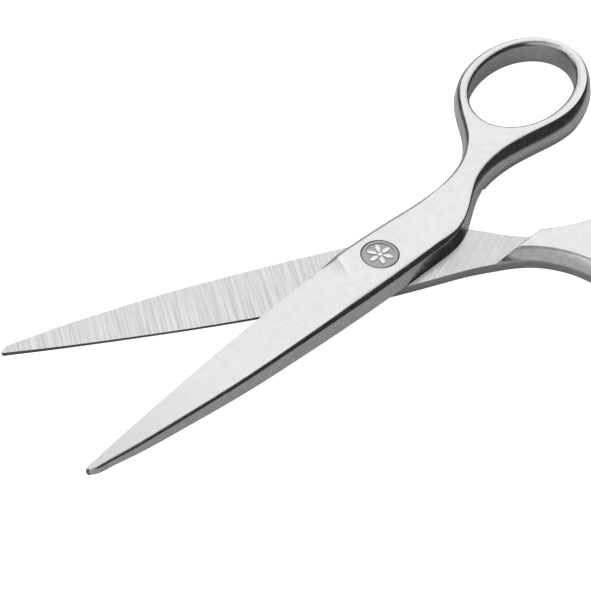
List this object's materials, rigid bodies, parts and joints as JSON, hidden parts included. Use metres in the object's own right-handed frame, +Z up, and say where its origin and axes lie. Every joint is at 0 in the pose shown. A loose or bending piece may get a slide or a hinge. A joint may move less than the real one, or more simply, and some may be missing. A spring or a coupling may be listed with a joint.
{
  "type": "hair cutting shears",
  "caption": "Slim straight hair cutting shears in satin steel, with oval finger rings, a flush round pivot and a hooked finger rest, lying flat and part open.",
  "frame": {"origin": "on the pivot axis, at the plane that the finger half's flat outer face rests on", "axes": "+X along the bisector of the two tips, +Y towards the finger handle, +Z up along the pivot, from the finger half to the thumb half"},
  "size_m": [0.1484, 0.0756, 0.0066],
  "materials": {
    "blade_steel": "satin ground stainless",
    "pin_steel": "turned and lightly blasted stainless",
    "spring_steel": "bright rolled",
    "bush_bronze": "turned bronze",
    "glide_plastic": "natural acetal",
    "bumper_rubber": "moulded matt"
  },
  "bodies": {
    "finger_half": {"finger_blade": "blade_steel", "glide_washer": "glide_plastic", "pivot_bush": "bush_bronze", "thrust_washer": "glide_plastic", "bumper": "bumper_rubber", "finger_rest": "pin_steel"},
    "thumb_half": {"thumb_blade": "blade_steel", "pivot_pin": "pin_steel", "keyed_washer": "spring_steel", "disc_spring": "spring_steel"},
    "tension_nut": {"tension_nut": "pin_steel"}
  },
  "joints": [
    {"name": "blade_pivot", "type": "hinge", "parent": "finger_half", "child": "thumb_half", "pos_m": [0, 0, 0], "axis": [0, 0, 1], "range_deg": [-25.9, 119.6]},
    {"name": "tension_turn", "type": "hinge", "parent": "thumb_half", "child": "tension_nut", "pos_m": [0, 0, 0], "axis": [0, 0, 1], "range_deg": [-90, 90]}
  ]
}
